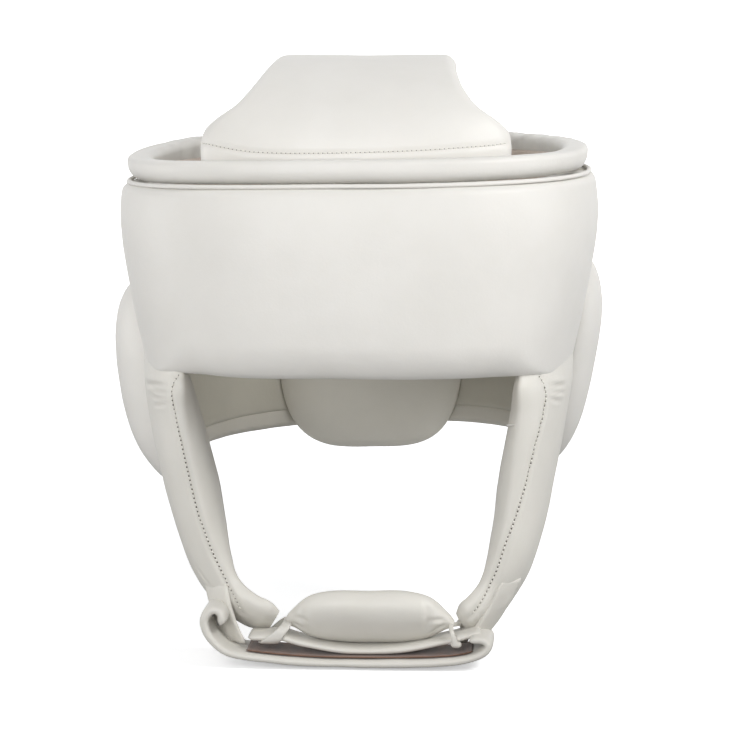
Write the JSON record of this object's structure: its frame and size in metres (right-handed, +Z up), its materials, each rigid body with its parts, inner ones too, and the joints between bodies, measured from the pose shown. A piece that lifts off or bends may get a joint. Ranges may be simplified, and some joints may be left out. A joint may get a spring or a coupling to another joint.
{
  "type": "karate head guard",
  "caption": "padded cream leather karate head guard with crown pad, ear pads, cheek pads, chin pad and closed chin straps",
  "frame": {"origin": "underside of the crown pad, where the top of the head touches it", "axes": "+Z up through the crown, the face looks towards -Y, +X to the right as seen from the front"},
  "size_m": [0.2489, 0.2419, 0.2894],
  "materials": {
    "pad_leather": "smooth coated leather, satin",
    "strap_leather": "smooth coated leather, satin",
    "lining_cloth": "matt woven lining"
  },
  "bodies": {
    "root": {"top_rim": "pad_leather", "rim_piping": "pad_leather", "forehead_pad": "pad_leather", "back_band": "pad_leather", "back_hem": "pad_leather", "side_lining_left": "lining_cloth", "side_lining_right": "lining_cloth", "crown_pad": "pad_leather", "ear_pad_left": "pad_leather", "ear_pad_right": "pad_leather", "neck_pad": "pad_leather", "cheek_pad_left": "pad_leather", "cheek_pad_right": "pad_leather", "chin_pad": "pad_leather", "outer_chin_strap": "strap_leather", "inner_chin_strap": "strap_leather", "closure_tab_left": "strap_leather", "closure_tab_right": "strap_leather", "chin_loop_left": "strap_leather", "chin_loop_right": "strap_leather"}
  },
  "joints": []
}
